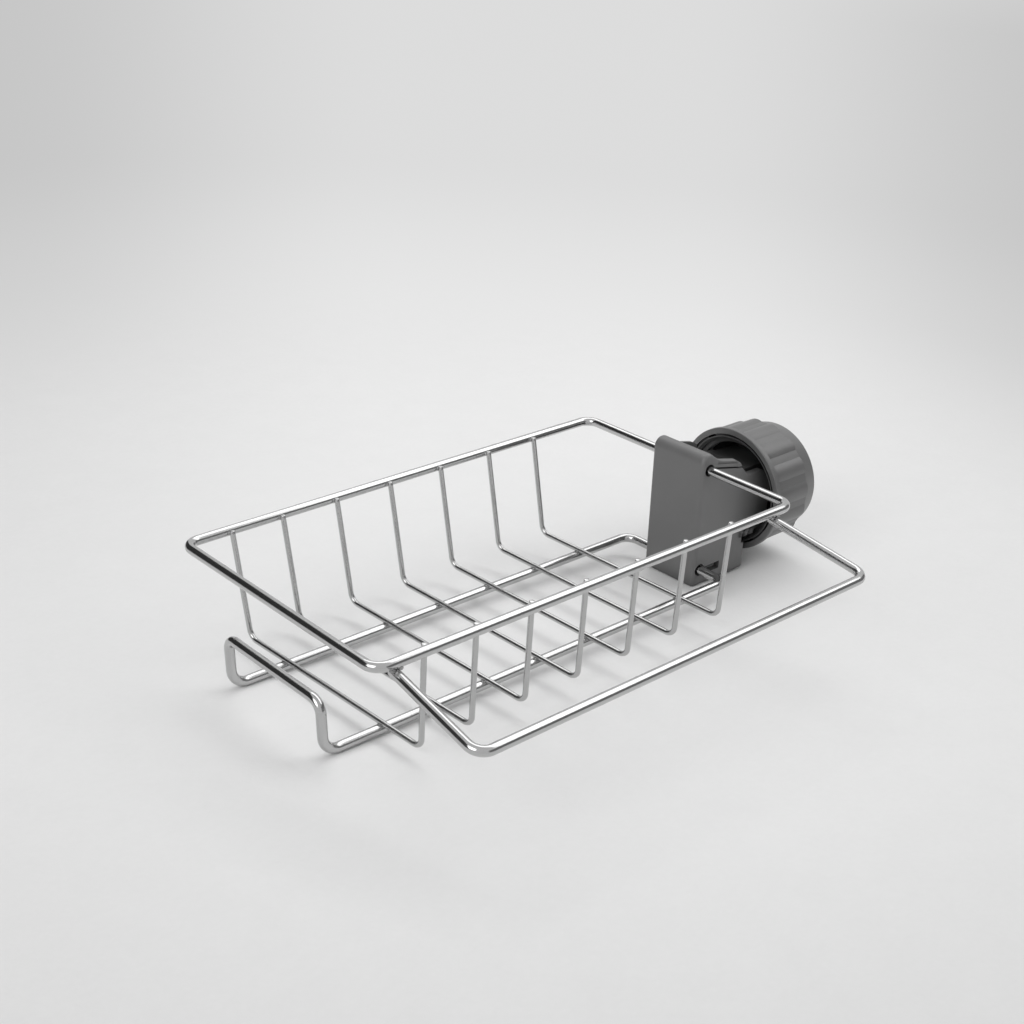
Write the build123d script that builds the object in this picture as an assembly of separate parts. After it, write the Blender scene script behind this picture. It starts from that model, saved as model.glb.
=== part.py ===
from build123d import *
import os
from math import ceil, cos, radians

# Wire basket for sponges with a towel rail, hung on a faucet pipe by a screw clamp.
# Millimetres. Origin: where the pipe's axis crosses the knob's axis. +X points from the
# basket to the knob, +Z runs up along the pipe, -Y is the side of the towel rail.
# A right-handed thread moves the knob 4 mm along X for each turn.

# Driving dimensions of the wire frame
frame_wire_r = 2.0
cross_wire_r = 1.1
weld_sink = 0.3
rim_length = 215.5
rim_width = 120.0
rim_height = 48.0
rim_corner_r = 6.0
knob_rise = 1.2
base_width = 59.0
base_corner_r = 6.0
base_setback = 0.7
lip_height = 21.3
lip_lean = 1.0
lip_foot_r = 7.0
lip_top_r = 5.0

# Cross wires: where each one stands along the rim, as a share of the rim's length
cross_wire_shares = (0.099, 0.208, 0.330, 0.457, 0.583, 0.709, 0.833)
cross_end_rise = 1.0
cross_side_slope = 5.2
cross_lean = 3.5
cross_skew = 1.6
cross_corner_r = 4.5

# Towel rail: how far out and down it hangs, and where its legs stand
rail_reach = 46.3
rail_drop = 11.6
rail_front_offset = 8.2
rail_rear_offset = 11.0
rail_splay = 2.6
rail_corner_r = 5.5
rail_end_overhang = 1.5

# Faucet pipe and jaw
pipe_r = 10.0
wire_to_pipe = 16.0
saddle_cover_deg = 120.0
pad_cover_deg = 100.0
pad_thickness = 4.0
pad_side_clearance = 0.3

# Clamp bracket
bracket_width = 30.0
cheek_thickness = 3.0
plate_face_offset = 4.5
plate_thickness = 3.5
hook_height = 8.0
hook_depth = 5.0
hook_hole_r = 2.8
plate_edge_r = 2.0
snap_slot_length = 13.0
cheek_rear_x = 13.6
cheek_neck_x = 10.6
cheek_step_z = -20.0
cheek_corner_r = 1.2

# Top of the bracket: a crest over the plate, then a lip that falls towards the knob
crest_height = 7.3
crest_front_r = 4.4
crest_rear_r = 2.6
crest_run = 1.0
crest_fall_run = 7.3
crest_fall = 4.6
lip_run = 18.2
lip_fall = 7.2
lip_bend_r = 10.0
lip_end_run = 22.0
lip_end_fall = 9.5
lip_end_drop = 2.0
lip_slit = 0.8
lip_slit_rise = 1.0
lip_slit_slope_deg = 13.0
lip_inset = 0.8
lip_flange_height = 1.3

# Thread between the prongs and the knob
thread_pitch = 4.0
prong_reach = 26.8
prong_root_x = 9.0
prong_top = 13.8
prong_top_taper = 3.6
prong_top_taper_run = 6.5
prong_bottom = 17.2
prong_bottom_taper = 2.6
prong_bottom_taper_run = 10.5
prong_tip_r = 2.0
tooth_reach = 1.2
screw_root_r = 21.3
screw_crest_r = 22.8
screw_ridge_root_width = 2.1
screw_ridge_crest_width = 1.0
nut_root_r = 23.3
nut_crest_r = 21.55
nut_ridge_root_width = 1.8
nut_ridge_crest_width = 0.8
thread_bite = 0.2

# Knob
knob_gap = 3.2
knob_mouth_r = 28.6
knob_collar_length = 2.4
knob_collar_fall = 0.8
knob_grip_r = 27.1
knob_grip_length = 22.0
knob_cap_r = 26.6
knob_shoulder_r = 25.0
knob_end_run = 2.5
knob_length = 31.5
knob_end_wall = 2.5
knob_end_fillet = 1.2
knob_mouth_fillet = 0.6
shell_bore_r = 26.0
shell_inner_r = 24.4
grip_rib_count = 15
grip_rib_phase_deg = 10.5
grip_rib_round_r = 7.0
grip_rib_crest_r = 28.0
ring_recess = 0.3
ring_length = 12.0
ring_outer_r = 25.0
ring_lead = 1.2
ring_rib_count = 12
ring_rib_width = 8.5
ring_rib_recess = 1.0
ring_rib_phase_deg = 12.0
boss_r = 8.0
boss_height = 9.0

# Pressure block and its pivot
flange_r = 15.7
flange_thickness = 5.7
block_side_clearance = 0.8
block_half_height = 15.0
block_edge_r = 1.5
pivot_gap = 0.3
pivot_r = 2.5
pivot_running_gap = 0.1
pivot_grip = 7.0
pivot_head_r = 4.2
pivot_head_height = 2.6
pivot_recess_width = 1.2
pivot_recess_depth = 1.2
washer_r = 4.9
washer_thickness = 1.0
counterbore_r = 5.4
counterbore_depth = 6.0

# One overrun serves every cut
overrun = 1.0

# Places that follow from the sizes above
rear_wire_x = -wire_to_pipe
base_rear_x = rear_wire_x - base_setback
front_wire_x = rear_wire_x - rim_length
rim_z = rim_height / 2 - knob_rise
base_z = -rim_height / 2 - knob_rise
plate_front_x = rear_wire_x - plate_face_offset
plate_back_x = plate_front_x + plate_thickness
hook_rear_x = rear_wire_x + hook_depth
bracket_top_z = rim_z + crest_height
bracket_bottom_z = base_z - hook_height
cheek_inner_y = bracket_width / 2 - cheek_thickness
slit_z = rim_z + lip_slit_rise
screw_thread_x = prong_root_x - thread_pitch
knob_mouth_x = cheek_rear_x + knob_gap
knob_end_x = knob_mouth_x + knob_length
knob_floor_x = knob_end_x - knob_end_wall
boss_face_x = knob_floor_x - boss_height
flange_rear_x = boss_face_x - pivot_gap
flange_front_x = flange_rear_x - flange_thickness
pad_back_x = pipe_r + pad_thickness
counterbore_floor_x = pad_back_x + counterbore_depth
washer_front_x = counterbore_floor_x - washer_thickness
pivot_end_x = boss_face_x + pivot_grip


def tube(points, bend_radii, radius, closed=False):
    """A round wire bent along straight runs joined by arcs."""
    path = FilletPolyline(*points, radius=bend_radii, close=closed)
    section = Plane(origin=path @ 0, z_dir=path % 0) * Circle(radius)
    return sweep(section, path=path)


def x_cylinder(radius, x_low, x_high):
    """A cylinder on the knob's axis."""
    length = x_high - x_low
    return Pos(X=x_low + length / 2) * Rot(Y=90) * Cylinder(radius, length)


def y_cylinder(radius, length, x, z):
    """A cylinder across the basket."""
    return Pos(x, 0, z) * Rot(X=90) * Cylinder(radius, length)


def box_between(low, high):
    """A box given by its two corners."""
    size = [b - a for a, b in zip(low, high)]
    middle = [(a + b) / 2 for a, b in zip(low, high)]
    return Pos(*middle) * Box(*size)


def turned_profile(points):
    """A solid of revolution about the knob's axis from (x, radius) points."""
    face = make_face(Polyline(*[(x, 0, r) for x, r in points], close=True))
    return revolve(face, axis=Axis.X)


def side_profile(points, bend_radii, half_width):
    """An (x, z) outline with rounded corners, as thick as the bracket is wide."""
    outline = FilletPolyline(*[(x, 0, z) for x, z in points], radius=bend_radii, close=True)
    return extrude(make_face(outline), amount=half_width, dir=(0, 1, 0), both=True)


def thread_ridge(root_r, crest_r, root_width, crest_width, start_x, turns):
    """A helical ridge round the X axis, trapezoidal in section."""
    helix = Helix(thread_pitch, thread_pitch * turns, root_r)
    corners = [
        (root_r, 0, -root_width / 2),
        (crest_r, 0, -crest_width / 2),
        (crest_r, 0, crest_width / 2),
        (root_r, 0, root_width / 2),
    ]
    section = make_face(Polyline(*corners, close=True))
    ridge = sweep(section, path=helix, is_frenet=True)
    return Pos(X=start_x) * Rot(Y=90) * ridge


def cross_wire(share):
    """One thin U-shaped wire, leaning towards the clamp at its foot and a little askew."""
    top_x = front_wire_x + share * rim_length
    foot_x = top_x + cross_lean
    top_y = rim_width / 2 - frame_wire_r - cross_wire_r + weld_sink
    foot_y = top_y - cross_side_slope
    top_z = rim_z + cross_end_rise
    foot_z = base_z + frame_wire_r + cross_wire_r - weld_sink
    points = [
        (top_x + cross_skew, -top_y, top_z),
        (foot_x + cross_skew, -foot_y, foot_z),
        (foot_x - cross_skew, foot_y, foot_z),
        (top_x - cross_skew, top_y, top_z),
    ]
    return tube(points, [cross_corner_r, cross_corner_r], cross_wire_r)


def towel_rail():
    """A U of frame wire whose legs end under the rim."""
    leg_slope = (rail_drop - 2 * frame_wire_r) / rail_reach
    joint_z = rim_z - 2 * frame_wire_r + weld_sink
    joint_y = -rim_width / 2 + rail_end_overhang
    start_z = joint_z + leg_slope * rail_end_overhang
    front_x = front_wire_x + rail_front_offset
    rear_x = rear_wire_x - rail_rear_offset
    bar_y = -rim_width / 2 - rail_reach
    bar_z = rim_z - rail_drop
    points = [
        (front_x, joint_y, start_z),
        (front_x - rail_splay, bar_y, bar_z),
        (rear_x + rail_splay, bar_y, bar_z),
        (rear_x, joint_y, start_z),
    ]
    return tube(points, [rail_corner_r, rail_corner_r], frame_wire_r)


def rim_wire(seated):
    """The upper loop, with a shallow weld seat for each wire that joins it."""
    half = rim_width / 2
    points = [
        (front_wire_x, -half, rim_z),
        (rear_wire_x, -half, rim_z),
        (rear_wire_x, half, rim_z),
        (front_wire_x, half, rim_z),
    ]
    return tube(points, [rim_corner_r] * len(points), frame_wire_r, closed=True) - seated


def base_wire(seated):
    """The lower loop: rear crossbar, two runners and the raised lip at the front."""
    half = base_width / 2
    lip_x = front_wire_x - lip_lean
    lip_z = base_z + lip_height
    points = [
        (base_rear_x, -half, base_z),
        (base_rear_x, half, base_z),
        (front_wire_x, half, base_z),
        (lip_x, half, lip_z),
        (lip_x, -half, lip_z),
        (front_wire_x, -half, base_z),
    ]
    bends = [base_corner_r, base_corner_r, lip_foot_r, lip_top_r, lip_top_r, lip_foot_r]
    return tube(points, bends, frame_wire_r, closed=True) - seated


def hook_bar(z, side):
    """The full-width bar that holds a rear wire; side is 1 for the upper one."""
    z_inner = z - side * hook_depth
    z_outer = z + side * hook_height
    low = (plate_front_x, -bracket_width / 2, min(z_inner, z_outer))
    high = (hook_rear_x, bracket_width / 2, max(z_inner, z_outer))
    return box_between(low, high)


def bracket_outline():
    """Side view of the bracket from its front foot round to its rear foot, with the bends."""
    crest_x = rear_wire_x + crest_run
    crest_foot = (rear_wire_x + crest_fall_run, bracket_top_z - crest_fall)
    lip_top = (rear_wire_x + lip_run, bracket_top_z - lip_fall)
    lip_end = (rear_wire_x + lip_end_run, bracket_top_z - lip_end_fall)
    lip_heel = (rear_wire_x + lip_end_run, bracket_top_z - lip_end_fall - lip_end_drop)
    return [
        ((plate_front_x, bracket_bottom_z), cheek_corner_r),
        ((plate_front_x, bracket_top_z), crest_front_r),
        ((crest_x, bracket_top_z), crest_rear_r),
        (crest_foot, lip_bend_r),
        (lip_top, cheek_corner_r),
        (lip_end, 0),
        (lip_heel, 0),
        ((cheek_neck_x, prong_top), 0),
        ((cheek_neck_x, cheek_step_z), 0),
        ((cheek_rear_x, cheek_step_z), 0),
        ((cheek_rear_x, bracket_bottom_z), cheek_corner_r),
    ]


def bracket_body():
    """Plate, hooks and cheeks, before the wire holes and slits are cut."""
    corners = bracket_outline()
    points = [point for point, bend in corners]
    body = side_profile(points, [bend for point, bend in corners], bracket_width / 2)
    channel = box_between(
        (plate_back_x, -cheek_inner_y, bracket_bottom_z - overrun),
        (cheek_rear_x + overrun, cheek_inner_y, bracket_top_z + overrun),
    )
    hooks = (hook_bar(rim_z, 1) + hook_bar(base_z, -1)) & body
    body = body - channel + hooks
    return fillet(front_upright_edges(body), plate_edge_r)


def front_upright_edges(body):
    """The two long vertical edges of the front plate."""
    on_front = body.edges().filter_by(Axis.Z).group_by(Axis.X)[0]
    return on_front


def prong_blank(side, outer_y):
    """Flat arm with a tapered tip, from a cheek's inner face out to outer_y."""
    corners = [
        ((prong_root_x, -prong_bottom), 0),
        ((prong_reach - prong_bottom_taper_run, -prong_bottom), 0),
        ((prong_reach, prong_bottom_taper - prong_bottom), prong_tip_r),
        ((prong_reach, prong_top - prong_top_taper), prong_tip_r),
        ((prong_reach - prong_top_taper_run, prong_top), 0),
        ((prong_root_x, prong_top), 0),
    ]
    points = [(x, side * cheek_inner_y, z) for (x, z), bend in corners]
    outline = FilletPolyline(*points, radius=[bend for point, bend in corners], close=True)
    return extrude(make_face(outline), amount=outer_y - cheek_inner_y, dir=(0, side, 0))


def threaded_prongs():
    """The ends of the cheeks: two slices of a coarse male thread."""
    turns = ceil((prong_reach - screw_thread_x) / thread_pitch) + 1
    ridge = thread_ridge(
        screw_root_r - thread_bite,
        screw_crest_r,
        screw_ridge_root_width,
        screw_ridge_crest_width,
        screw_thread_x,
        turns,
    )
    core = x_cylinder(screw_root_r, prong_root_x - overrun, prong_reach + overrun)
    prongs = []
    for side in (-1, 1):
        arm = prong_blank(side, bracket_width / 2) & core
        teeth = prong_blank(side, bracket_width / 2 + tooth_reach) & ridge
        # Slivers of thread that the tapered tip cuts loose are left off
        prongs.append((arm + teeth).solids().sort_by(SortBy.VOLUME)[-1])
    return prongs


def clamp_bracket():
    """The one-piece moulding that carries the wires, the pipe and the knob."""
    bracket = bracket_body()
    for prong in threaded_prongs():
        bracket = bracket + prong
    across = bracket_width + 2 * overrun
    bracket = bracket - y_cylinder(hook_hole_r, across, rear_wire_x, rim_z)
    bracket = bracket - y_cylinder(hook_hole_r, across, base_rear_x, base_z)
    slit_length = lip_end_run + hook_depth
    slit = Pos(X=slit_length / 2) * Box(slit_length, across, lip_slit)
    bracket = bracket - Pos(rear_wire_x, 0, slit_z) * Rot(Y=lip_slit_slope_deg) * slit
    snap_slot = box_between(
        (base_rear_x, -across / 2, base_z - hook_hole_r),
        (base_rear_x + snap_slot_length, across / 2, base_z + lip_slit),
    )
    bracket = bracket - snap_slot
    inset_bottom = lip_slit / 2 + lip_flange_height
    for side in (-1, 1):
        recess = Box(lip_end_run, 2 * lip_inset, hook_height)
        recess = Pos(hook_depth + lip_end_run / 2, 0, inset_bottom + hook_height / 2) * recess
        recess = Pos(rear_wire_x, side * bracket_width / 2, slit_z) * Rot(Y=lip_slit_slope_deg) * recess
        bracket = bracket - recess
    return bracket


def land_x(cover_deg):
    """How far from the pipe's centre plane the ends of a jaw's arc lie."""
    return pipe_r * cos(radians(cover_deg / 2))


def saddle_pad():
    """Rubber block behind the plate, hollowed to the pipe."""
    half_y = cheek_inner_y - pad_side_clearance
    half_z = rim_z - hook_depth - 2 * pad_side_clearance
    block = box_between((plate_back_x, -half_y, -half_z), (-land_x(saddle_cover_deg), half_y, half_z))
    return block - Cylinder(pipe_r, 2 * half_z + overrun)


def pressure_pad():
    """Rubber facing of the pressure block, hollowed to the pipe."""
    half_y = cheek_inner_y - block_side_clearance
    half_z = block_half_height
    block = box_between((land_x(pad_cover_deg), -half_y, -half_z), (pad_back_x, half_y, half_z))
    return block - Cylinder(pipe_r, 2 * half_z + overrun)


def pressure_block():
    """Slides between the cheeks; its round flange rides inside the knob."""
    half_y = cheek_inner_y - block_side_clearance
    low = (pad_back_x, -half_y, -block_half_height)
    high = (flange_front_x, half_y, block_half_height)
    flange = x_cylinder(flange_r, flange_front_x, flange_rear_x)
    flange = fillet(flange.edges().group_by(Axis.X)[0], block_edge_r / 2)
    block = box_between(low, high) + flange
    block = block - x_cylinder(counterbore_r, pad_back_x - overrun, counterbore_floor_x)
    bore_r = pivot_r + pivot_running_gap
    return block - x_cylinder(bore_r, counterbore_floor_x - overrun, flange_rear_x + overrun)


def pivot_screw():
    """Pan head with a cross recess, and a shank that seats in the knob's boss."""
    head_front_x = washer_front_x - pivot_head_height
    head = x_cylinder(pivot_head_r, head_front_x, washer_front_x)
    head = fillet(head.edges().group_by(Axis.X)[0], pivot_head_height / 2)
    screw = head + x_cylinder(pivot_r, washer_front_x, pivot_end_x)
    for turn in (0, 90):
        arm = Box(2 * pivot_recess_depth, pivot_recess_width, pivot_head_r)
        screw = screw - Pos(X=head_front_x) * Rot(X=turn) * arm
    return screw


def pivot_washer():
    """Flat washer between the screw's head and the block."""
    washer = x_cylinder(washer_r, washer_front_x, counterbore_floor_x)
    return washer - x_cylinder(pivot_r, washer_front_x - overrun, counterbore_floor_x + overrun)


def knob_outer():
    """Outside of the knob as one solid of revolution, without its ribs."""
    collar_x = knob_mouth_x + knob_collar_length
    step_x = knob_mouth_x + knob_grip_length
    shoulder_x = knob_end_x - knob_end_run
    taper = (knob_cap_r - knob_shoulder_r) / (shoulder_x - step_x)
    end_r = knob_shoulder_r - taper * knob_end_run
    outer = turned_profile(
        [
            (knob_mouth_x, 0),
            (knob_mouth_x, knob_mouth_r),
            (collar_x, knob_mouth_r),
            (collar_x + knob_collar_fall, knob_grip_r),
            (step_x, knob_grip_r),
            (step_x, knob_cap_r),
            (shoulder_x, knob_shoulder_r),
            (knob_end_x, end_r),
            (knob_end_x, 0),
        ]
    )
    ends = outer.edges().filter_by(GeomType.CIRCLE).group_by(Axis.X)
    outer = fillet(ends[-1], knob_end_fillet)
    mouth = outer.edges().filter_by(GeomType.CIRCLE).group_by(Axis.X)[0]
    return fillet(mouth, knob_mouth_fillet)


def grip_rib():
    """A round-backed bar along the grip, from the collar to the step at the cap."""
    start_x = knob_mouth_x + knob_collar_length
    end_x = knob_mouth_x + knob_grip_length
    bar = x_cylinder(grip_rib_round_r, start_x, end_x)
    return Pos(Z=grip_rib_crest_r - grip_rib_round_r) * bar


def knob_shell():
    """Ribbed cup with a boss inside its closed end."""
    shell = knob_outer()
    rib = grip_rib()
    for index in range(grip_rib_count):
        shell = shell + Rot(X=grip_rib_phase_deg + 360 * index / grip_rib_count) * rib
    ring_end_x = knob_mouth_x + ring_recess + ring_length
    shell = shell - x_cylinder(shell_bore_r, knob_mouth_x - overrun, ring_end_x)
    shell_taper_r = shell_inner_r - (knob_cap_r - knob_shoulder_r)
    cavity = turned_profile(
        [
            (ring_end_x - overrun, 0),
            (ring_end_x - overrun, shell_inner_r),
            (knob_mouth_x + knob_grip_length, shell_inner_r),
            (knob_floor_x, shell_taper_r),
            (knob_floor_x, 0),
        ]
    )
    shell = shell - cavity
    boss = x_cylinder(boss_r, boss_face_x, knob_floor_x)
    shell = shell + boss
    return shell - x_cylinder(pivot_r, boss_face_x - overrun, pivot_end_x)


def knob_thread_ring():
    """Inner ring with the female thread, held in the shell by ribs."""
    start_x = knob_mouth_x + ring_recess
    end_x = start_x + ring_length
    ring = turned_profile(
        [
            (start_x, nut_root_r + ring_lead),
            (start_x + ring_lead, nut_root_r),
            (end_x, nut_root_r),
            (end_x, ring_outer_r),
            (start_x, ring_outer_r),
        ]
    )
    rib_space = x_cylinder(shell_bore_r, start_x + ring_rib_recess, end_x) - x_cylinder(
        ring_outer_r - thread_bite, start_x, end_x
    )
    for index in range(ring_rib_count):
        rib = box_between((start_x, -ring_rib_width / 2, 0), (end_x, ring_rib_width / 2, knob_mouth_r))
        turn = ring_rib_phase_deg + 360 * index / ring_rib_count
        ring = ring + (Rot(X=turn) * rib & rib_space)
    nut_start = start_x + ring_lead + nut_ridge_root_width / 2
    nut_end = end_x - nut_ridge_root_width
    ridge = thread_ridge(
        nut_root_r + thread_bite,
        nut_crest_r,
        nut_ridge_root_width,
        nut_ridge_crest_width,
        nut_start,
        (nut_end - nut_start) / thread_pitch,
    )
    half_pitch_turn = 360 * ((nut_start - screw_thread_x) / thread_pitch - 1 / 2)
    return ring + Rot(X=half_pitch_turn) * ridge


def build_parts():
    """Every piece by its name."""
    crosses = [cross_wire(share) for share in cross_wire_shares]
    rail = towel_rail()
    pieces = {}
    pieces["rim_wire"] = rim_wire(crosses + [rail])
    pieces["base_wire"] = base_wire(crosses)
    pieces["towel_rail"] = rail
    for number, cross in enumerate(crosses, start=1):
        pieces[f"cross_wire_{number}"] = cross
    pieces["clamp_bracket"] = clamp_bracket()
    pieces["saddle_pad"] = saddle_pad()
    pieces["pressure_block"] = pressure_block()
    pieces["pressure_pad"] = pressure_pad()
    pieces["knob_shell"] = knob_shell()
    pieces["knob_thread_ring"] = knob_thread_ring()
    pieces["pivot_screw"] = pivot_screw()
    pieces["pivot_washer"] = pivot_washer()
    return pieces


os.makedirs("parts", exist_ok=True)
for name, piece in build_parts().items():
    export_step(piece, f"parts/{name}.step")
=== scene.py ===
# %% [markdown]
# A wire basket for sponges, clamped to a faucet pipe. The real one is bent from drawn
# stainless wire and spot welded; the clamp and its knob are moulded in grey plastic.
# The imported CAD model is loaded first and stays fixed. Everything that follows either
# gives its surfaces a finish or puts a more detailed piece in the same place.

from math import ceil, pi, radians, tan

import bmesh
import bpy
from mathutils import Matrix, Quaternion, Vector, noise
from mathutils.kdtree import KDTree


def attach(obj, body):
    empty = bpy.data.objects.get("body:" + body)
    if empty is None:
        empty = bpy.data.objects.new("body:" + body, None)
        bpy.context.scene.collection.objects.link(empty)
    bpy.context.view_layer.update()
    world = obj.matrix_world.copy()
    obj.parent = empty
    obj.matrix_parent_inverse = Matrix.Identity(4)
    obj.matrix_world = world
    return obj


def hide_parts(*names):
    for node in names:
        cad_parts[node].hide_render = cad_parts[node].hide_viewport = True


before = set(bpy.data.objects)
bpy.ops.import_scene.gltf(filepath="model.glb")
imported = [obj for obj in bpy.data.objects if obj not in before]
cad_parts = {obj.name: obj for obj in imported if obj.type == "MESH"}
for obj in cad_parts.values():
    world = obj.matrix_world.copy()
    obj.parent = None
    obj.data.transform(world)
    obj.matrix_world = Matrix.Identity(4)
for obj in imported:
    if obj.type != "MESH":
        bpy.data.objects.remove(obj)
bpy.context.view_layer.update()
MM = 0.001
scene = bpy.context.scene

# %% [markdown]
# ## Camera
# The viewpoint was solved from the photograph together with the basket's sizes: it stands
# in front and to the left, looks down by 25 degrees and is tipped by two. An aim point and
# a roll say that more plainly than three angles would.

# %% Camera
camera_place = Vector((-506.9, -422.7, 292.9)) * MM
camera_aim = Vector((-50.78, 72.56, -19.44)) * MM
camera_roll = radians(2.18)
lens_pixels, frame_pixels, sensor_width = 1587.73, 1024, 36.0

camera_data = bpy.data.cameras.new("camera")
camera_data.sensor_width = sensor_width
camera_data.lens = lens_pixels / frame_pixels * sensor_width
camera_data.clip_start, camera_data.clip_end = 0.01, 50
camera = bpy.data.objects.new("camera", camera_data)
scene.collection.objects.link(camera)
towards_aim = (camera_aim - camera_place).to_track_quat("-Z", "Y")
camera.rotation_mode = "QUATERNION"
camera.rotation_quaternion = towards_aim @ Quaternion((0, 0, 1), camera_roll)
camera.location = camera_place
scene.camera = camera
print("lens", round(camera_data.lens, 2), "mm")

# %% [markdown]
# ## Node helpers
# Materials are built from nodes in code. Small helpers keep that readable: one adds a node
# and sets its sockets, the others do the arithmetic that comes up again and again. A
# shared effect becomes a node group with named inputs, so each finish can use it with its
# own values.

# %% Node helpers
def add_node(tree, kind, inputs=None, **settings):
    """A node with its settings and sockets; a socket value may be another node's output."""
    node = tree.nodes.new(kind)
    for key, value in settings.items():
        setattr(node, key, value)
    for key, value in (inputs or {}).items():
        if isinstance(value, bpy.types.NodeSocket):
            tree.links.new(value, node.inputs[key])
        else:
            node.inputs[key].default_value = value
    return node


def maths(tree, operation, first, second=0.0, third=0.0):
    """The value of one arithmetic node."""
    inputs = {0: first, 1: second, 2: third}
    return add_node(tree, "ShaderNodeMath", inputs, operation=operation).outputs[0]


def remap(tree, value, low, high, to_low=0.0, to_high=1.0, smooth=False):
    """A value mapped from one range to another and clamped."""
    inputs = {"Value": value, "From Min": low, "From Max": high, "To Min": to_low, "To Max": to_high}
    kind = "SMOOTHSTEP" if smooth else "LINEAR"
    return add_node(tree, "ShaderNodeMapRange", inputs, interpolation_type=kind).outputs[0]


def noise_value(tree, vector, scale, detail=3.0, roughness=0.5):
    """One octave stack of noise, as a single value from 0 to 1."""
    inputs = {"Vector": vector, "Scale": scale, "Detail": detail, "Roughness": roughness}
    return add_node(tree, "ShaderNodeTexNoise", inputs).outputs["Fac"]


def vector_maths(tree, operation, first, second):
    """The value of one vector node, such as a distance or a dot product."""
    node = add_node(tree, "ShaderNodeVectorMath", {0: first, 1: second}, operation=operation)
    return node.outputs["Value"]


def grey_of(tree, level):
    """The neutral colour of a level that changes over the surface."""
    return add_node(tree, "ShaderNodeCombineColor", {0: level, 1: level, 2: level}).outputs[0]


def bump_normal(tree, height, strength, depth):
    """A normal tipped by a height map that is so many metres deep."""
    inputs = {"Height": height, "Strength": strength, "Distance": depth}
    return add_node(tree, "ShaderNodeBump", inputs).outputs[0]


def seen_directly(tree):
    """1 for rays from the camera, a mirror or glass, and 0 for rays that only light things."""
    path = add_node(tree, "ShaderNodeLightPath").outputs
    direct = maths(tree, "ADD", path["Is Camera Ray"], path["Is Glossy Ray"])
    return maths(tree, "MINIMUM", maths(tree, "ADD", direct, path["Is Transmission Ray"]), 1.0)


def stretched(tree, vector, scale):
    """Coordinates scaled by a different amount along each axis."""
    inputs = {"Vector": vector, "Scale": scale}
    return add_node(tree, "ShaderNodeMapping", inputs).outputs[0]


def new_group(name, inputs, outputs):
    """An empty node group with named sockets, and its two end nodes."""
    group = bpy.data.node_groups.new(name, "ShaderNodeTree")
    kinds = {"value": "NodeSocketFloat", "vector": "NodeSocketVector", "colour": "NodeSocketColor"}
    for label, kind, default in inputs:
        socket = group.interface.new_socket(label, in_out="INPUT", socket_type=kinds[kind])
        if default is not None:
            socket.default_value = default
    for label, kind in outputs:
        group.interface.new_socket(label, in_out="OUTPUT", socket_type=kinds[kind])
    return group, group.nodes.new("NodeGroupInput"), group.nodes.new("NodeGroupOutput")


def use_group(tree, group, **inputs):
    """A copy of a node group in a material, with its own values."""
    node = add_node(tree, "ShaderNodeGroup", node_tree=group)
    for key, value in inputs.items():
        label = key.replace("_", " ")
        if isinstance(value, bpy.types.NodeSocket):
            tree.links.new(value, node.inputs[label])
        else:
            node.inputs[label].default_value = value
    return node


def grey(level):
    """A neutral colour."""
    return (level, level, level, 1.0)


def new_material(name, **constants):
    """A material with a Principled shader, whose constants sit on its own sockets."""
    material = bpy.data.materials.new(name)
    material.use_nodes = True
    shader = material.node_tree.nodes["Principled BSDF"]
    for key, value in constants.items():
        shader.inputs[key.replace("_", " ")].default_value = value
    return material, material.node_tree, shader


print("node helpers ready")

# %% [markdown]
# ## Floor
# A sheet of white paper, seen close: nearly even, with a faint grain. A pool of light is
# painted into its colour, darker to both sides, to the front and away from the basket. Far
# behind the object the sheet becomes the pale backdrop: there it glows for the camera and
# for mirrors, and lights nothing. The holder rests on its lip and on the foot of its clamp,
# which hangs lower, so the floor is tipped by the angle between them instead of tipping the
# object. The painted pool's numbers were chosen so that the paper fades as it does in the photograph.

# %% Floor
lip_contact = Vector((-230.0, 0, -27.2)) * MM
foot_contact = Vector((-20.0, 0, -33.2)) * MM
floor_reach = 6.0
floor_gap = 0.02 * MM
slope = (foot_contact.z - lip_contact.z) / (foot_contact.x - lip_contact.x)

floor_mesh = bmesh.new()
bmesh.ops.create_circle(floor_mesh, cap_ends=True, segments=64, radius=floor_reach)
for vertex in floor_mesh.verts:
    run = vertex.co.x - lip_contact.x
    vertex.co.z = lip_contact.z + slope * run - floor_gap
floor_data = bpy.data.meshes.new("floor")
floor_mesh.to_mesh(floor_data)
floor_mesh.free()
floor = bpy.data.objects.new("floor", floor_data)
scene.collection.objects.link(floor)

paper, tree, shader = new_material("paper_floor", Roughness=0.85)
shader.inputs["Specular IOR Level"].default_value = 0.15
place = add_node(tree, "ShaderNodeTexCoord").outputs["Object"]
mottle = noise_value(tree, place, 55.0, 6.0, 0.6)
speck = noise_value(tree, place, 420.0, 3.0, 0.6)
mottle_share, speck_share = 0.035, 0.03
tone = maths(tree, "MULTIPLY_ADD", mottle, mottle_share, 0.0)
tone = maths(tree, "MULTIPLY_ADD", speck, speck_share, tone)
bump = bump_normal(tree, speck, 0.25, 0.0004)
tree.links.new(bump, shader.inputs["Normal"])
print("floor slope", round(slope, 4))
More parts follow.
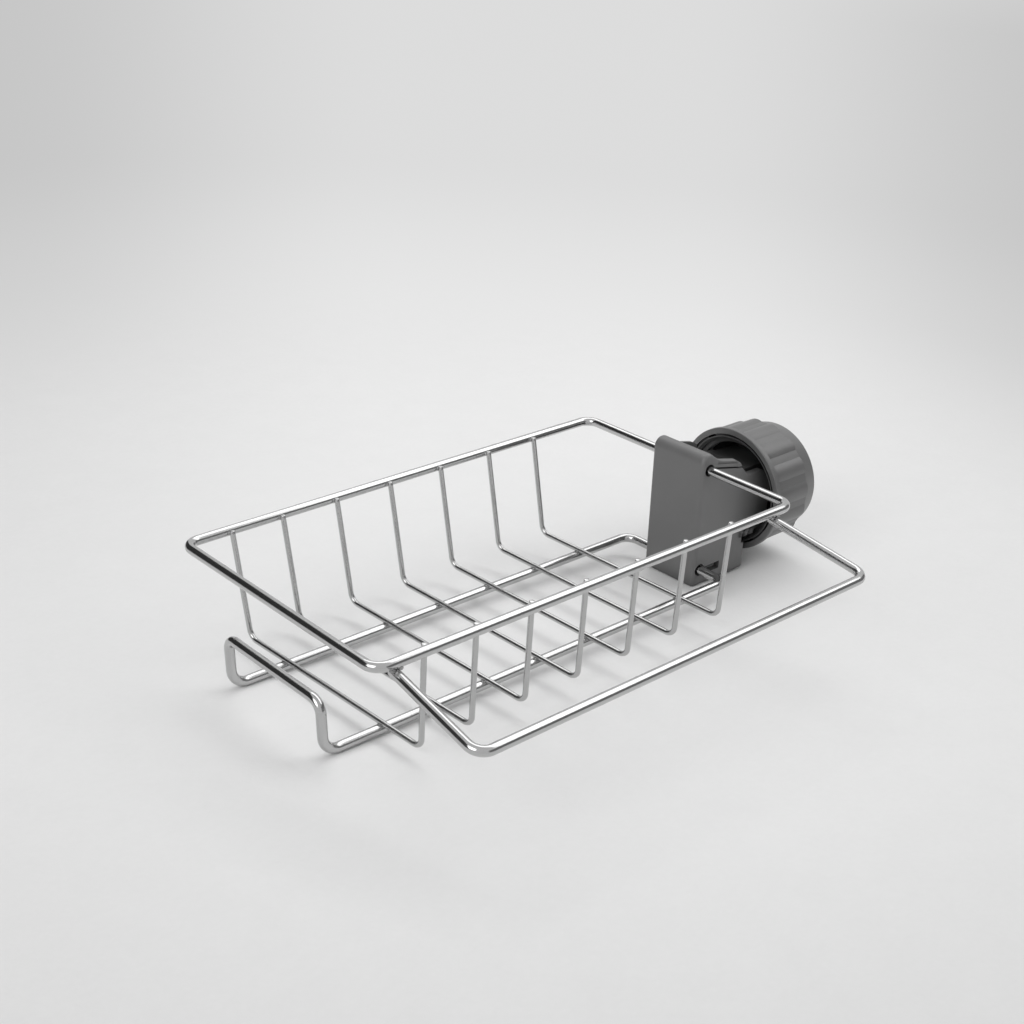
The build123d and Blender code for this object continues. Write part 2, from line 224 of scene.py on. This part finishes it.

# %% The pool of light painted on the paper
# two level directions: the sweep rises far away along the first, and the second is across it
paper_level, basket_middle = 0.81, (-0.13, 0.0, 0.0)
sweep_line, cross_line = (0.677, 0.736, 0.0), (0.736, -0.677, 0.0)
pool_start, pool_middle, narrowest = 0.75, 0.075, 0.2
painted_pool_darkest, paper_share = 0.15, -0.4
away = vector_maths(tree, "DISTANCE", place, basket_middle)
along = vector_maths(tree, "DOT_PRODUCT", place, sweep_line)
across = vector_maths(tree, "DOT_PRODUCT", place, cross_line)
beside = maths(tree, "ABSOLUTE", maths(tree, "ADD", across, pool_middle))
length = maths(tree, "MAXIMUM", maths(tree, "ADD", along, pool_start), narrowest)
fan = maths(tree, "DIVIDE", beside, length)
# painted shade: beside the pool the paper's colour is darker, as if the light fell off there
painted_pool_shade = remap(tree, fan, 0.08, 0.33, 0.0, painted_pool_darkest, smooth=True)
painted_pool_shade = maths(tree, "MULTIPLY", painted_pool_shade, remap(tree, along, -0.45, 0.0, smooth=True))

# painted shade: the paper's colour darkens away from the basket
painted_falloff = remap(tree, away, 0.12, 0.55, 0.0, 0.06, smooth=True)
level = maths(tree, "SUBTRACT", maths(tree, "ADD", paper_level, tone), painted_falloff)
level = maths(tree, "MULTIPLY_ADD", painted_pool_shade, paper_share, level)
# painted shade: the paper's colour also darkens towards the front
painted_front_shade = remap(tree, along, -0.12, -0.38, 0.0, 0.09, smooth=True)
level = maths(tree, "SUBTRACT", level, painted_front_shade)
tree.links.new(grey_of(tree, level), shader.inputs["Base Color"])
print("paper level", paper_level, "and up to", round(-paper_share * painted_pool_darkest, 3), "darker beside the pool")

# %% The backdrop far behind
blend_start, blend_end = 0.28, 0.60
glow_level = remap(tree, away, 0.40, 1.00, 0.80, 0.72, smooth=True)
# the painted shade beside the pool carries on into the backdrop's glow
painted_pool_shade_far = maths(tree, "MULTIPLY", painted_pool_shade, remap(tree, away, 2.5, 5.5, 1.0, 0.0))
glow_level = maths(tree, "SUBTRACT", glow_level, painted_pool_shade_far)
sweep_glow = add_node(tree, "ShaderNodeEmission", {"Color": grey_of(tree, glow_level)})
far = remap(tree, away, blend_start, blend_end, smooth=True)
far = maths(tree, "MULTIPLY", far, seen_directly(tree))
blend = add_node(tree, "ShaderNodeMixShader", {0: far, 1: shader.outputs[0], 2: sweep_glow.outputs[0]})
tree.links.new(blend.outputs[0], tree.nodes["Material Output"].inputs["Surface"])
floor_data.materials.append(paper)
print("backdrop blends in from", blend_start, "to", blend_end, "m")

# %% [markdown]
# ## Light
# Polished wire is a mirror, so what it shows is the studio: one long soft box overhead and
# to the right gives the white line along each wire, the pale sweep behind gives the grey
# one, and a black and a grey card beside the table give the dark lines that make a wire
# read as metal. The cards throw no shadow and aren't seen by the camera. The same box,
# being off to one side, also throws the soft shadows to the left. Part of its light is a
# spill that mirrors don't see, which keeps the white lines from burning out. A weak box on
# the left lifts the front of the clamp.

# %% Lights and world
def soft_box(name, place, aim, size, watts):
    """A rectangular studio light that faces its aim point."""
    data = bpy.data.lights.new(name, "AREA")
    data.shape = "RECTANGLE"
    data.size, data.size_y = size
    data.energy = watts
    lamp = bpy.data.objects.new(name, data)
    lamp.location = place
    lamp.rotation_mode = "QUATERNION"
    lamp.rotation_quaternion = (Vector(aim) - Vector(place)).to_track_quat("-Z", "Y")
    scene.collection.objects.link(lamp)
    return lamp


def turned_box(name, place, turn_deg, size, watts):
    """A level soft box that hangs over the table, its long side turned round Z."""
    lamp = soft_box(name, place, (place[0], place[1], 0.0), size, watts)
    lamp.rotation_quaternion = Quaternion((0, 0, 1), radians(turn_deg)) @ Quaternion((1, 0, 0, 0))
    return lamp


key_place, key_turn_deg, key_size = (0.75, -0.05, 1.10), -68, (2.40, 0.80)
key_watts, spill_watts, fill_watts = 10.5, 9.0, 6.5
turned_box("key_box", key_place, key_turn_deg, key_size, key_watts)
spill = turned_box("key_box_spill", key_place, key_turn_deg, key_size, spill_watts)
spill.visible_glossy = False
soft_box("left_fill", (-1.30, -0.25, 0.75), (0, 0, 0), (0.90, 0.90), fill_watts)

world = bpy.data.worlds.new("studio")
scene.world = world
world.use_nodes = True
tree = world.node_tree
fill_level, backdrop_level = 0.46, 0.72
strength = remap(tree, seen_directly(tree), 0.0, 1.0, fill_level, backdrop_level)
background = tree.nodes["Background"]
background.inputs["Color"].default_value = grey(1.0)
tree.links.new(strength, background.inputs["Strength"])


def standing_card(name, middle, width, height, facing_deg, cloth):
    """A standing card that only reflections see."""
    card = bmesh.new()
    bmesh.ops.create_grid(card, x_segments=1, y_segments=1, size=0.5)
    bmesh.ops.scale(card, vec=(width, height, 1), verts=card.verts)
    turn = Matrix.Rotation(radians(facing_deg), 4, "Z") @ Matrix.Rotation(pi / 2, 4, "X")
    bmesh.ops.transform(card, matrix=Matrix.Translation(middle) @ turn, verts=card.verts)
    data = bpy.data.meshes.new(name)
    card.to_mesh(data)
    card.free()
    data.materials.append(cloth)
    piece = bpy.data.objects.new(name, data)
    piece.visible_camera = False
    piece.visible_diffuse = False
    piece.visible_shadow = False
    scene.collection.objects.link(piece)


def card_material(name, level):
    """Card stock that mirrors see at an even grey level, with a faint weave."""
    material, tree, shader = new_material(name, Roughness=0.9, Base_Color=grey(0.02))
    place = add_node(tree, "ShaderNodeTexCoord").outputs["Object"]
    weave = noise_value(tree, place, 90.0)
    shade = remap(tree, weave, 0.3, 0.7, 0.9 * level, 1.1 * level)
    tree.links.new(grey_of(tree, shade), shader.inputs["Emission Color"])
    shader.inputs["Emission Strength"].default_value = 1.0
    return material


standing_card("card_left", (-0.75, 0.75, 0.62), 2.4, 1.3, 40, card_material("black_card", 0.012))
standing_card("card_right", (0.70, -0.80, 0.33), 2.4, 0.8, 40, card_material("grey_card", 0.17))

scene.view_settings.view_transform = "Standard"
print("lights and cards placed")

# %% [markdown]
# ## Effects that finishes share
# Drawn wire carries fine scratches along its length, left by the die, and turns dull
# and grey near a weld. Moulded plastic carries the spark-eroded grain of its mould, with
# edges rubbed smoother and a highlight painted lighter along them, and painted shade in
# its hollows. Each is a group that puts out plain values, and the material decides what
# to do with them.

# %% Drawn wire group
drawn_wire, ends, outs = new_group(
    "drawn_wire",
    [("Wire Space", "vector", None), ("Scratch Scale", "value", 1.0), ("Heat", "value", 0.0)],
    [("Shade", "value"), ("Roughness", "value"), ("Height", "value")],
)
lengthwise = stretched(drawn_wire, ends.outputs["Wire Space"], (60.0, 4200.0, 4200.0))
scale = ends.outputs["Scratch Scale"]
fine = noise_value(drawn_wire, lengthwise, scale, 4.0, 0.65)
broad_space = stretched(drawn_wire, ends.outputs["Wire Space"], (45.0, 700.0, 700.0))
broad = noise_value(drawn_wire, broad_space, scale, 3.0, 0.5)
pit_space = stretched(drawn_wire, ends.outputs["Wire Space"], (1100.0, 1600.0, 1600.0))
pits = remap(drawn_wire, noise_value(drawn_wire, pit_space, 1.0, 2.0), 0.66, 0.8)
heat = ends.outputs["Heat"]
shade = remap(drawn_wire, broad, 0.3, 0.7, 0.94, 1.0)
shade = maths(drawn_wire, "SUBTRACT", shade, maths(drawn_wire, "MULTIPLY", pits, 0.10))
shade = maths(drawn_wire, "SUBTRACT", shade, maths(drawn_wire, "MULTIPLY", heat, 0.45))
rough = remap(drawn_wire, fine, 0.3, 0.75, 0.0, 1.0)
rough = maths(drawn_wire, "MULTIPLY_ADD", heat, 2.5, rough)
height = maths(drawn_wire, "SUBTRACT", fine, maths(drawn_wire, "MULTIPLY", pits, 0.8))
drawn_wire.links.new(shade, outs.inputs["Shade"])
drawn_wire.links.new(rough, outs.inputs["Roughness"])
drawn_wire.links.new(height, outs.inputs["Height"])
print("drawn_wire:", len(drawn_wire.nodes), "nodes")

# %% Moulded grain group
moulded_grain, ends, outs = new_group(
    "moulded_grain",
    [("Place", "vector", None), ("Grain Scale", "value", 1.0)],
    [("Height", "value"), ("Cloud", "value"), ("Speck", "value")],
)
place = ends.outputs["Place"]
scale = ends.outputs["Grain Scale"]
pores = noise_value(moulded_grain, place, maths(moulded_grain, "MULTIPLY", scale, 2600.0), 2.0, 0.6)
cells = add_node(moulded_grain, "ShaderNodeTexVoronoi", {"Vector": place}, feature="SMOOTH_F1")
cell_scale = maths(moulded_grain, "MULTIPLY", scale, 1900.0)
moulded_grain.links.new(cell_scale, cells.inputs["Scale"])
height = maths(moulded_grain, "MULTIPLY_ADD", cells.outputs["Distance"], 0.6, pores)
cloud = noise_value(moulded_grain, place, 70.0, 4.0, 0.55)
speck = remap(moulded_grain, noise_value(moulded_grain, place, 900.0, 2.0), 0.62, 0.75)
moulded_grain.links.new(height, outs.inputs["Height"])
moulded_grain.links.new(cloud, outs.inputs["Cloud"])
moulded_grain.links.new(speck, outs.inputs["Speck"])
print("moulded_grain:", len(moulded_grain.nodes), "nodes")

# %% Edge rub and painted highlight group
edge_rub_and_highlight, ends, outs = new_group(
    "edge_rub_and_highlight", [("Reach", "value", 0.0006), ("Amount", "value", 1.0)], [("Mask", "value")]
)
rounded = add_node(edge_rub_and_highlight, "ShaderNodeBevel", {"Radius": ends.outputs["Reach"]}, samples=4)
flat = add_node(edge_rub_and_highlight, "ShaderNodeNewGeometry").outputs["Normal"]
facing = vector_maths(edge_rub_and_highlight, "DOT_PRODUCT", rounded.outputs[0], flat)
# the mask is 1 along edges: there the colour gets a painted highlight and the surface is smoother
mask = remap(edge_rub_and_highlight, facing, 0.99, 0.80)
mask = maths(edge_rub_and_highlight, "MULTIPLY", mask, ends.outputs["Amount"])
edge_rub_and_highlight.links.new(mask, outs.inputs["Mask"])
print("edge_rub_and_highlight:", len(edge_rub_and_highlight.nodes), "nodes")

# %% Painted shade in hollows group
painted_hollow_shade, ends, outs = new_group(
    "painted_hollow_shade", [("Reach", "value", 0.01), ("Depth", "value", 0.5)], [("Shade", "value")]
)
open_sky = add_node(painted_hollow_shade, "ShaderNodeAmbientOcclusion", {"Distance": ends.outputs["Reach"]}, samples=6)
# painted shade: the less open sky near a point, the darker its colour
closed_in = remap(painted_hollow_shade, open_sky.outputs["AO"], 0.90, 0.30)
shade = maths(painted_hollow_shade, "SUBTRACT", 1.0, maths(painted_hollow_shade, "MULTIPLY", closed_in, ends.outputs["Depth"]))
painted_hollow_shade.links.new(shade, outs.inputs["Shade"])
print("groups:", [g.name for g in bpy.data.node_groups])

# %% [markdown]
# ## Finishes
# The frame wire is polished and mirrors the room. The thin wire is satin, as if it was only
# drawn and cleaned. The four plastics differ in grain and shine, and the two rubber pads
# are dull. All stay neutral grey, as in the photograph.

# %% Steel finishes
def steel(name, level, sheen_low, sheen_high, scratch_scale, bump_depth):
    """Bare steel wire: drawn scratches, pits and a duller skin at the welds."""
    material, tree, shader = new_material(name, Metallic=1.0)
    space = add_node(tree, "ShaderNodeAttribute", attribute_name="wire_space").outputs["Vector"]
    heat = add_node(tree, "ShaderNodeAttribute", attribute_name="heat").outputs["Fac"]
    wire = use_group(tree, drawn_wire, Wire_Space=space, Scratch_Scale=scratch_scale, Heat=heat)
    value = maths(tree, "MULTIPLY", wire.outputs["Shade"], level)
    tree.links.new(grey_of(tree, value), shader.inputs["Base Color"])
    rough = maths(tree, "MULTIPLY_ADD", wire.outputs["Roughness"], sheen_high - sheen_low, sheen_low)
    tree.links.new(rough, shader.inputs["Roughness"])
    tree.links.new(bump_normal(tree, wire.outputs["Height"], 0.35, bump_depth), shader.inputs["Normal"])
    return material


polished_wire = steel("polished_wire", 0.54, 0.10, 0.22, 1.0, 0.00002)
satin_wire = steel("satin_wire", 0.51, 0.13, 0.26, 1.3, 0.00002)
print("steel finishes:", polished_wire.name, satin_wire.name)

# %% Plastic, rubber and screw finishes
def moulded(name, level, roughness, grain_scale, grain_depth, rub_and_highlight=0.35, shine=0.6, depth=0.6):
    """Matte moulded plastic: mould grain, faint clouding, painted highlight on rubbed edges, painted shade
    in hollows.
    """
    material, tree, shader = new_material(name)
    shader.inputs["Specular IOR Level"].default_value = shine
    place = add_node(tree, "ShaderNodeTexCoord").outputs["Object"]
    grain = use_group(tree, moulded_grain, Place=place, Grain_Scale=grain_scale)
    rubbed_and_highlit = use_group(tree, edge_rub_and_highlight, Amount=rub_and_highlight).outputs["Mask"]
    shade = remap(tree, grain.outputs["Cloud"], 0.3, 0.7, 0.95 * level, 1.05 * level)
    shade = maths(tree, "MULTIPLY_ADD", grain.outputs["Speck"], 0.05 * level, shade)
    # painted highlight: the edges are painted lighter; below, the rub also makes them smoother
    shade = maths(tree, "MULTIPLY_ADD", rubbed_and_highlit, 0.35 * level, shade)
    # painted shade in the hollows, as strong as depth
    shade = maths(tree, "MULTIPLY", shade, use_group(tree, painted_hollow_shade, Depth=depth).outputs["Shade"])
    tree.links.new(grey_of(tree, shade), shader.inputs["Base Color"])
    dull = remap(tree, grain.outputs["Cloud"], 0.3, 0.7, roughness - 0.04, roughness + 0.04)
    dull = maths(tree, "MULTIPLY_ADD", rubbed_and_highlit, -0.12, dull)
    tree.links.new(dull, shader.inputs["Roughness"])
    tree.links.new(bump_normal(tree, grain.outputs["Height"], 0.4, grain_depth), shader.inputs["Normal"])
    return material


bracket_plastic = moulded("bracket_plastic", 0.135, 0.50, 1.0, 0.00004, shine=0.8)
# the block and the thread ring sit deep in the knob: their own dark grey is set lower still as painted
# shade
block_plastic = moulded("block_plastic", 0.06, 0.55, 1.0, 0.00004, depth=0.9)
knob_plastic = moulded("knob_plastic", 0.125, 0.36, 1.2, 0.00003, rub_and_highlight=0.5, shine=0.7, depth=0.8)
ring_plastic = moulded("ring_plastic", 0.075, 0.5, 1.1, 0.00003, depth=0.9)
pad_rubber = moulded("pad_rubber", 0.03, 0.8, 0.7, 0.00006, rub_and_highlight=0.1)


def plated_steel(name):
    """Zinc plated screw steel: cloudy, with turning marks round its axis."""
    material, tree, shader = new_material(name, Metallic=1.0)
    place = add_node(tree, "ShaderNodeTexCoord").outputs["Object"]
    cloud = noise_value(tree, place, 400.0, 4.0)
    marks = noise_value(tree, stretched(tree, place, (9000.0, 300.0, 300.0)), 1.0, 2.0)
    shade = remap(tree, cloud, 0.3, 0.7, 0.46, 0.58)
    tree.links.new(grey_of(tree, shade), shader.inputs["Base Color"])
    tree.links.new(remap(tree, marks, 0.3, 0.7, 0.28, 0.42), shader.inputs["Roughness"])
    tree.links.new(bump_normal(tree, marks, 0.3, 0.00001), shader.inputs["Normal"])
    return material


screw_steel = plated_steel("screw_steel")
print("finishes:", [m.name for m in bpy.data.materials])

# %% [markdown]
# ## Bent wire
# A real wire is pushed through a bender: it runs straight, then turns about a pin. The
# mesh is made the same way. A ring of vertices is extruded along each run and rotated
# round each bend's pin, so every bend is a true arc. Each vertex also stores how far along
# the wire it lies and where round it, so that the drawn scratches follow every bend.

# %% Wire builder
wire_sides, thin_sides = 20, 14
wire_step, arc_step, fewest_arc_steps = 2.0 * MM, radians(7.5), 3
sawn_edge, merge_gap = 0.25 * MM, 0.01 * MM


def only(kind, geometry):
    """Those parts of what an operator made that are of one kind."""
    return [item for item in geometry if isinstance(item, kind)]


def next_ring(wire, ring, layer, run):
    """Copies the open ring, ready to be moved on; returns its edges and vertices."""
    made = bmesh.ops.extrude_edge_only(wire, edges=ring)["geom"]
    vertices = only(bmesh.types.BMVert, made)
    for vertex in vertices:
        space = vertex[layer]
        vertex[layer] = Vector((run, space.y, space.z))
    return only(bmesh.types.BMEdge, made), vertices


def bend_wire(name, corners, bends, radius, closed=False, sides=wire_sides):
    """A mesh of one bent wire; corners in metres, with the radius of the bend at each."""
    corners = [Vector(corner) for corner in corners]
    start = (corners[0] + corners[-1]) / 2 if closed else corners[0]
    stops = corners + [start] if closed else corners[1:]
    radii = list(bends) + [0]
    wire = bmesh.new()
    heat = wire.verts.layers.float.new("heat")
    layer = wire.verts.layers.float_vector.new("wire_space")
    heading = (stops[0] - start).normalized()
    ring_made = bmesh.ops.create_circle(wire, segments=sides, radius=radius)["verts"]
    for vertex in ring_made:
        vertex[layer] = Vector((0, vertex.co.x, vertex.co.y))
    upright = heading.to_track_quat("Z", "Y").to_matrix().to_4x4()
    bmesh.ops.transform(wire, matrix=Matrix.Translation(start) @ upright, verts=ring_made)
    ring = list(wire.edges)
    first_ring = list(ring)
    here, run = start.copy(), 0.0
    for index, stop in enumerate(stops):
        bend = radii[index]
        following = (stops[index + 1] - stop).normalized() if index + 1 < len(stops) else heading
        turn = heading.angle(following) if bend else 0.0
        reach = (stop - here).length - bend * tan(turn / 2)
        steps = ceil(reach / wire_step)
        for _ in range(steps):
            run += reach / steps
            ring, moved = next_ring(wire, ring, layer, run)
            bmesh.ops.translate(wire, vec=heading * reach / steps, verts=moved)
        here = here + heading * reach
        if not bend:
            continue
        axis = heading.cross(following).normalized()
        pin = here + axis.cross(heading).normalized() * bend
        steps = max(fewest_arc_steps, ceil(turn / arc_step))
        swing = Matrix.Rotation(turn / steps, 3, axis)
        for _ in range(steps):
            run += bend * turn / steps
            ring, moved = next_ring(wire, ring, layer, run)
            bmesh.ops.rotate(wire, cent=pin, matrix=swing, verts=moved)
        here = pin + Matrix.Rotation(turn, 3, axis) @ (here - pin)
        heading = following
    if closed:
        bmesh.ops.remove_doubles(wire, verts=wire.verts, dist=merge_gap)
    else:
        for end in (first_ring, ring):
            bmesh.ops.edgeloop_fill(wire, edges=end)
        cuts = [edge for end in (first_ring, ring) for edge in end]
        bmesh.ops.bevel(
            wire, geom=cuts, offset=sawn_edge, segments=2, profile=0.5, affect="EDGES", material=-1
        )
    bmesh.ops.recalc_face_normals(wire, faces=wire.faces)
    # the tube is all quads, so any face with more sides is a sawn end
    sawn = [face for face in wire.faces if len(face.verts) > 4]
    for vertex in [vertex for face in sawn for vertex in face.verts]:
        vertex[heat] = 1.0
    for face in wire.faces:
        face.smooth = True
    miss = (here - stops[-1]).length / MM
    print(name, round(run / MM, 1), "mm long,", len(wire.faces), "faces, end off by", round(miss, 6), "mm")
    return wire


print("wires get", wire_sides, "and", thin_sides, "sides")

# %% [markdown]
# ## Where the wires run
# These are the same sizes as in the source of the solids, so each smooth wire lies exactly
# where its solid does. The thin wires lean and are a little askew, as the photograph shows.

# %% Wire sizes and routes
frame_wire_r, thin_wire_r, weld_sink = 2.0, 1.1, 0.3
rim_length, rim_width = 215.5, 120.0
rim_z, base_z = 22.8, -25.2
rear_x, base_rear_x = -16.0, -16.7
front_x = rear_x - rim_length
rim_half, base_half = rim_width / 2, 29.5
lip_x, lip_z = front_x - 1.0, base_z + 21.3
cross_shares = (0.099, 0.208, 0.330, 0.457, 0.583, 0.709, 0.833)
cross_lean, cross_skew, cross_slope, cross_rise = 3.5, 1.6, 5.2, 1.0
cross_bend, rim_bend, base_bend, rail_bend = 4.5, 6.0, 6.0, 5.5
lip_foot_bend, lip_top_bend = 7.0, 5.0

rim_route = [
    (rear_x, rim_half, rim_z),
    (front_x, rim_half, rim_z),
    (front_x, -rim_half, rim_z),
    (rear_x, -rim_half, rim_z),
]
base_route = [
    (base_rear_x, base_half, base_z),
    (front_x, base_half, base_z),
    (lip_x, base_half, lip_z),
    (lip_x, -base_half, lip_z),
    (front_x, -base_half, base_z),
    (base_rear_x, -base_half, base_z),
]
base_bends = [base_bend, lip_foot_bend, lip_top_bend, lip_top_bend, lip_foot_bend, base_bend]

rail_reach, rail_drop, rail_overhang = 46.3, 11.6, 1.5
leg_slope = (rail_drop - 2 * frame_wire_r) / rail_reach
leg_top_z = rim_z - 2 * frame_wire_r + weld_sink + leg_slope * rail_overhang
leg_top = Vector((0, -rim_half + rail_overhang, leg_top_z))
leg_front_x, leg_rear_x, leg_splay = front_x + 8.2, rear_x - 11.0, 2.6
bar_y, bar_z = -rim_half - rail_reach, rim_z - rail_drop
rail_route = [
    (leg_front_x, leg_top.y, leg_top.z),
    (leg_front_x - leg_splay, bar_y, bar_z),
    (leg_rear_x + leg_splay, bar_y, bar_z),
    (leg_rear_x, leg_top.y, leg_top.z),
]


def cross_route(share):
    """The four corners of one thin wire."""
    top_x = front_x + share * rim_length
    foot_x = top_x + cross_lean
    top_y = rim_half - frame_wire_r - thin_wire_r + weld_sink
    foot_y = top_y - cross_slope
    top_z = rim_z + cross_rise
    foot_z = base_z + frame_wire_r + thin_wire_r - weld_sink
    return [
        (top_x + cross_skew, -top_y, top_z),
        (foot_x + cross_skew, -foot_y, foot_z),
        (foot_x - cross_skew, foot_y, foot_z),
        (top_x - cross_skew, top_y, top_z),
    ]


cross_routes = [cross_route(share) for share in cross_shares]
print(len(cross_routes), "cross wires")

# %% [markdown]
# ## Where the welds are
# Every thin wire is spot welded four times, each of the rail's two legs once. A kd-tree of
# those places lets each wire's vertices know how near the closest weld is, which the
# steel finish turns into a dull, darker skin.

# %% Weld places
bead_drop = 0.2
rim_welds, base_welds = [], []
for route in cross_routes:
    near_top, near_foot, far_foot, far_top = [Vector(corner) for corner in route]
    for top, side in ((near_top, -1), (far_top, 1)):
        rim_welds.append(Vector((top.x, side * (rim_half - frame_wire_r), rim_z - bead_drop)))
    for foot_y in (-base_half, base_half):
        share = (foot_y - near_foot.y) / (far_foot.y - near_foot.y)
        x = near_foot.x + share * (far_foot.x - near_foot.x)
        base_welds.append(Vector((x, foot_y, base_z + frame_wire_r)))
rail_welds = [Vector((x, -rim_half, rim_z - frame_wire_r)) for x in (leg_front_x, leg_rear_x)]
# the rim and the base were each closed into a ring by a butt weld at the far rear corner
butt_welds = [
    Vector((rear_x - 3.0, rim_half, rim_z)),
    Vector((base_rear_x - 2.0, base_half - 2.0, base_z)),
]
weld_places = [place * MM for place in rim_welds + base_welds + rail_welds + butt_welds]
weld_tree = KDTree(len(weld_places))
for index, place in enumerate(weld_places):
    weld_tree.insert(place, index)
weld_tree.balance()
heat_reach = 4.5 * MM
print(len(weld_places), "welds")

# %% Make the wires
def finish_piece(name, mesh, body, material, replaced=()):
    """Turns a bmesh into a finished piece that rides on a body."""
    data = bpy.data.meshes.new(name)
    mesh.to_mesh(data)
    mesh.free()
    data.materials.append(material)
    piece = bpy.data.objects.new(name, data)
    scene.collection.objects.link(piece)
    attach(piece, body)
    if replaced:
        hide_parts(*replaced)
    return piece


def add_heat(mesh):
    """Stores on each vertex how near the closest weld is, from 0 to 1."""
    layer = mesh.verts.layers.float["heat"]
    for vertex in mesh.verts:
        distance = weld_tree.find(vertex.co)[2]
        vertex[layer] = max(vertex[layer], max(0.0, 1.0 - distance / heat_reach) ** 2)


def in_metres(points):
    """The sizes above are in millimetres and the scene is in metres."""
    return [Vector(point) * MM for point in points]


wires = [
    ("rim", rim_route, [rim_bend] * 4, True, "rim_wire"),
    ("base", base_route, base_bends, True, "base_wire"),
    ("rail", rail_route, [rail_bend] * 2, False, "towel_rail"),
]
for number, route in enumerate(cross_routes, start=1):
    wires.append((f"cross_{number}", route, [cross_bend] * 2, False, f"cross_wire_{number}"))
for name, route, bends, closed, node in wires:
    thin = node.startswith("cross")
    radius, sides = (thin_wire_r, thin_sides) if thin else (frame_wire_r, wire_sides)
    slot, material = ("satin_wire", satin_wire) if thin else ("polished_wire", polished_wire)
    mesh = bend_wire(name, in_metres(route), [bend * MM for bend in bends], radius * MM, closed, sides)
    add_heat(mesh)
    finish_piece(f"{name}_bent", mesh, "basket", material, (node,))

# %% [markdown]
# ## Welds
# A resistance weld presses the two wires into each other and squeezes out a little bead.
# Each bead is an icosphere, flattened into the groove between the wires and roughened
# with noise, so no two look alike. Each leg of the rail has several lumps round it, as if
# it was welded by hand.

# %% Weld beads
coarse_scale, fine_scale, fine_share = 1.7, 4.1, 0.4


def add_bead(mesh, place, half_sizes, lumps, seed):
    """One small lump of weld metal."""
    made = bmesh.ops.create_icosphere(mesh, subdivisions=3, radius=1.0)["verts"]
    for vertex in made:
        swell = noise.noise(vertex.co * coarse_scale + Vector((seed * 7.3, 0, 0)))
        fine = noise.noise(vertex.co * fine_scale + Vector((0, seed * 3.1, 0)))
        vertex.co *= 1 + lumps * swell + fine_share * lumps * fine
    bmesh.ops.scale(mesh, vec=half_sizes, verts=made)
    bmesh.ops.translate(mesh, vec=place, verts=made)


def bead_piece(name, beads):
    """Several beads as one piece."""
    mesh = bmesh.new()
    for seed, (place, half_sizes, lumps) in enumerate(beads):
        add_bead(mesh, place * MM, [size * MM for size in half_sizes], lumps, seed + 1)
    for face in mesh.faces:
        face.smooth = True
    print(name, len(beads), "beads")
    return finish_piece(name, mesh, "basket", weld_metal)


def weld_skin():
    """Weld metal: melted, greyer and rougher than the wire."""
    material, tree, shader = new_material("weld_metal", Metallic=1.0)
    place = add_node(tree, "ShaderNodeTexCoord").outputs["Object"]
    cloud = noise_value(tree, place, 900.0, 4.0, 0.6)
    scorch = noise_value(tree, place, 2600.0, 3.0, 0.6)
    shade = remap(tree, cloud, 0.3, 0.7, 0.24, 0.48)
    tree.links.new(grey_of(tree, shade), shader.inputs["Base Color"])
    tree.links.new(remap(tree, scorch, 0.3, 0.7, 0.30, 0.55), shader.inputs["Roughness"])
    tree.links.new(bump_normal(tree, scorch, 0.5, 0.0001), shader.inputs["Normal"])
    return material


weld_metal = weld_skin()
# each lump beside a rail's leg: how far along the rim, across it and up, and its size
rail_lumps = [
    (-1.9, -1.1, 0.1, 0.9),
    (1.9, -0.9, 0.0, 0.8),
    (-2.0, 0.6, 0.1, 0.7),
    (2.0, 0.9, 0.0, 0.9),
    (-0.9, -2.2, -0.5, 0.6),
    (1.0, 1.9, -0.3, 0.6),
]
lump_flatness, rail_lumpiness, spot_lumpiness = 0.8, 0.35, 0.25
rim_spot, base_spot = (1.35, 0.6, 1.0), (1.3, 1.3, 0.5)
rail_beads = [
    (place + Vector((along, across, above)), (size, size, lump_flatness * size), rail_lumpiness)
    for place in rail_welds
    for along, across, above, size in rail_lumps
]
bead_piece("rim_welds", [(place, rim_spot, spot_lumpiness) for place in rim_welds])
bead_piece("base_welds", [(place, base_spot, spot_lumpiness) for place in base_welds])
bead_piece("rail_welds", rail_beads)

# %% [markdown]
# ## Clamp and knob
# These solids already have the right shape, so they keep it and only get their finish.

# %% Finishes on the solids
finishes = {
    "clamp_bracket": bracket_plastic,
    "saddle_pad": pad_rubber,
    "pressure_block": block_plastic,
    "pressure_pad": pad_rubber,
    "knob_shell": knob_plastic,
    "knob_thread_ring": ring_plastic,
    "pivot_screw": screw_steel,
    "pivot_washer": screw_steel,
}
for node, material in finishes.items():
    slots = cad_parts[node].data.materials
    slots.clear()
    slots.append(material)
print("finished solids:", len(finishes))
